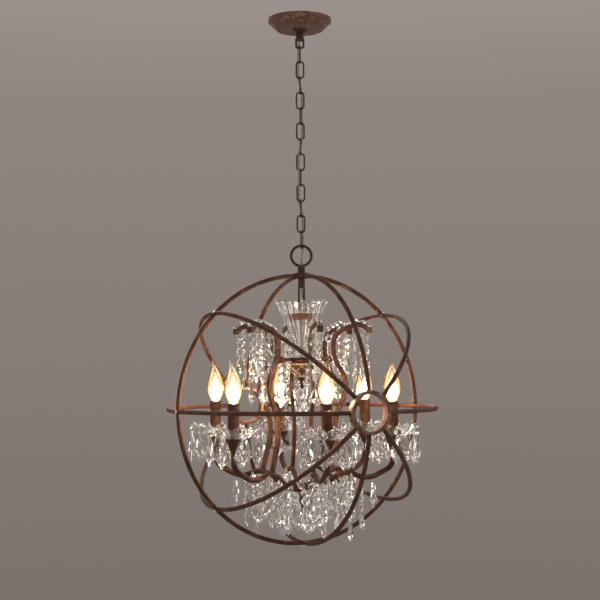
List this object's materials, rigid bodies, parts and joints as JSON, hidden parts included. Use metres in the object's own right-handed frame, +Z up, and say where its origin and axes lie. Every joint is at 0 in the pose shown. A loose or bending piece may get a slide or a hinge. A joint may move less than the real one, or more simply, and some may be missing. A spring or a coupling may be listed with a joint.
{
  "type": "orb chandelier",
  "caption": "Orb chandelier of crossing iron rings with two flat hub bands, hung by a chain, and a candle-style crystal candelabra on scrolled arms hung inside.",
  "frame": {"origin": "on the ceiling, at the centre of the canopy's rim, so the part hangs at negative Z", "axes": "+Z up, towards the ceiling; the flat hub bands of the orb face -Y and +Y; +X to the right when looking at the front hub band"},
  "size_m": [0.5108, 0.516, 0.9948],
  "materials": {
    "rust_iron": "distressed rust-brown paint with worn edges",
    "pale_iron": "distressed pinkish grey-brown paint",
    "dark_iron": "satin dark bronze paint",
    "copper": "aged copper",
    "zinc": "zinc-plated steel",
    "cord_gold": "translucent gold flex",
    "crystal": "clear cut crystal",
    "clear_glass": "clear pressed glass",
    "bulb_glass": "lit clear candle bulb",
    "socket_black": "moulded phenolic"
  },
  "bodies": {
    "ceiling": {"ceiling_bracket": "zinc", "ceiling_nipple": "zinc", "lock_nuts": "zinc", "ceiling_loop": "pale_iron", "power_cord": "cord_gold"},
    "canopy": {"canopy": "pale_iron"},
    "ring_nut": {"ring_nut": "dark_iron"},
    "link_01": {"chain_link_01": "dark_iron"},
    "link_02": {"chain_link_02": "dark_iron"},
    "link_03": {"chain_link_03": "dark_iron"},
    "link_04": {"chain_link_04": "dark_iron"},
    "link_05": {"chain_link_05": "dark_iron"},
    "link_06": {"chain_link_06": "dark_iron"},
    "link_07": {"chain_link_07": "dark_iron"},
    "link_08": {"chain_link_08": "dark_iron"},
    "link_09": {"chain_link_09": "dark_iron"},
    "link_10": {"chain_link_10": "dark_iron"},
    "link_11": {"chain_link_11": "dark_iron"},
    "link_12": {"chain_link_12": "dark_iron"},
    "link_13": {"chain_link_13": "dark_iron"},
    "orb": {"top_ring": "dark_iron", "orb_stem": "zinc", "cap_nut": "dark_iron", "pole_boss": "dark_iron", "ring_equator": "rust_iron", "ring_meridian_hub": "rust_iron", "ring_meridian_cross": "rust_iron", "ring_tilt_left": "rust_iron", "ring_tilt_right": "rust_iron", "hub_band_front": "pale_iron", "hub_band_back": "pale_iron", "ring_screws": "zinc", "hanger_loop": "dark_iron"},
    "candelabra": {"inner_loop": "dark_iron", "column_pipe": "zinc", "vase_cup": "copper", "glass_vase": "clear_glass", "spider_crystals": "crystal", "neck_spider": "rust_iron", "junction_cup": "rust_iron", "glass_bowl": "clear_glass", "column_nut": "rust_iron", "column_crystals": "crystal", "scroll_straps": "rust_iron", "arms": "rust_iron", "bottom_hub": "rust_iron", "candle_cups": "rust_iron", "glass_dishes": "clear_glass", "dish_drops": "crystal", "lamp_sockets": "socket_black", "candle_sleeves": "rust_iron", "hook_strands": "crystal", "basket_strands": "crystal"},
    "bulb_1": {"bulb_1": "bulb_glass"},
    "bulb_2": {"bulb_2": "bulb_glass"},
    "bulb_3": {"bulb_3": "bulb_glass"},
    "bulb_4": {"bulb_4": "bulb_glass"},
    "bulb_5": {"bulb_5": "bulb_glass"},
    "bulb_6": {"bulb_6": "bulb_glass"},
    "finial_drop": {"finial_drop": "crystal"}
  },
  "joints": [
    {"name": "canopy_slide", "type": "slide", "parent": "ceiling", "child": "canopy", "axis": [0, 0, -1], "range_m": [0, 0.012]},
    {"name": "ring_nut_slide", "type": "slide", "parent": "ceiling", "child": "ring_nut", "axis": [0, 0, -1], "range_m": [0, 0.012]},
    {"name": "link_01_hinge", "type": "hinge", "parent": "ceiling", "child": "link_01", "pos_m": [0, 0, -0.0555], "axis": [0.891, -0.454, 0], "range_deg": [-15, 15], "deforming": ["power_cord"]},
    {"name": "link_02_hinge", "type": "hinge", "parent": "link_01", "child": "link_02", "pos_m": [0, 0, -0.0844], "axis": [0.454, 0.891, 0], "range_deg": [-15, 15], "deforming": ["power_cord"]},
    {"name": "link_03_hinge", "type": "hinge", "parent": "link_02", "child": "link_03", "pos_m": [0, 0, -0.1138], "axis": [0.891, -0.454, 0], "range_deg": [-15, 15], "deforming": ["power_cord"]},
    {"name": "link_04_hinge", "type": "hinge", "parent": "link_03", "child": "link_04", "pos_m": [0, 0, -0.1432], "axis": [0.454, 0.891, 0], "range_deg": [-15, 15], "deforming": ["power_cord"]},
    {"name": "link_05_hinge", "type": "hinge", "parent": "link_04", "child": "link_05", "pos_m": [0, 0, -0.1726], "axis": [0.891, -0.454, 0], "range_deg": [-15, 15], "deforming": ["power_cord"]},
    {"name": "link_06_hinge", "type": "hinge", "parent": "link_05", "child": "link_06", "pos_m": [0, 0, -0.202], "axis": [0.454, 0.891, 0], "range_deg": [-15, 15], "deforming": ["power_cord"]},
    {"name": "link_07_hinge", "type": "hinge", "parent": "link_06", "child": "link_07", "pos_m": [0, 0, -0.2314], "axis": [0.891, -0.454, 0], "range_deg": [-15, 15], "deforming": ["power_cord"]},
    {"name": "link_08_hinge", "type": "hinge", "parent": "link_07", "child": "link_08", "pos_m": [0, 0, -0.2608], "axis": [0.454, 0.891, 0], "range_deg": [-15, 15], "deforming": ["power_cord"]},
    {"name": "link_09_hinge", "type": "hinge", "parent": "link_08", "child": "link_09", "pos_m": [0, 0, -0.2902], "axis": [0.891, -0.454, 0], "range_deg": [-15, 15], "deforming": ["power_cord"]},
    {"name": "link_10_hinge", "type": "hinge", "parent": "link_09", "child": "link_10", "pos_m": [0, 0, -0.3196], "axis": [0.454, 0.891, 0], "range_deg": [-15, 15], "deforming": ["power_cord"]},
    {"name": "link_11_hinge", "type": "hinge", "parent": "link_10", "child": "link_11", "pos_m": [0, 0, -0.349], "axis": [0.891, -0.454, 0], "range_deg": [-15, 15], "deforming": ["power_cord"]},
    {"name": "link_12_hinge", "type": "hinge", "parent": "link_11", "child": "link_12", "pos_m": [0, 0, -0.3784], "axis": [0.454, 0.891, 0], "range_deg": [-15, 15], "deforming": ["power_cord"]},
    {"name": "link_13_hinge", "type": "hinge", "parent": "link_12", "child": "link_13", "pos_m": [0, 0, -0.4078], "axis": [0.891, -0.454, 0], "range_deg": [-15, 15], "deforming": ["power_cord"]},
    {"name": "orb_swing", "type": "hinge", "parent": "link_13", "child": "orb", "pos_m": [0, 0, -0.4372], "axis": [0.454, 0.891, 0], "range_deg": [-15, 15], "deforming": ["power_cord"]},
    {"name": "candelabra_swing", "type": "hinge", "parent": "orb", "child": "candelabra", "pos_m": [0, 0, -0.5474], "axis": [0.891, -0.454, 0], "range_deg": [-2, 2], "deforming": ["power_cord"]},
    {"name": "bulb_1_out", "type": "slide", "parent": "candelabra", "child": "bulb_1", "axis": [0, 0, 1], "range_m": [0, 0.028]},
    {"name": "bulb_2_out", "type": "slide", "parent": "candelabra", "child": "bulb_2", "axis": [0, 0, 1], "range_m": [0, 0.028]},
    {"name": "bulb_3_out", "type": "slide", "parent": "candelabra", "child": "bulb_3", "axis": [0, 0, 1], "range_m": [0, 0.028]},
    {"name": "bulb_4_out", "type": "slide", "parent": "candelabra", "child": "bulb_4", "axis": [0, 0, 1], "range_m": [0, 0.028]},
    {"name": "bulb_5_out", "type": "slide", "parent": "candelabra", "child": "bulb_5", "axis": [0, 0, 1], "range_m": [0, 0.028]},
    {"name": "bulb_6_out", "type": "slide", "parent": "candelabra", "child": "bulb_6", "axis": [0, 0, 1], "range_m": [0, 0.028]},
    {"name": "finial_drop_swing", "type": "hinge", "parent": "candelabra", "child": "finial_drop", "pos_m": [0, 0, -0.92915], "axis": [0.891, -0.454, 0], "range_deg": [-15, 15]}
  ],
  "couplings": [
    {"joint": "ring_nut_slide", "follows": "canopy_slide", "ratio": 1}
  ]
}
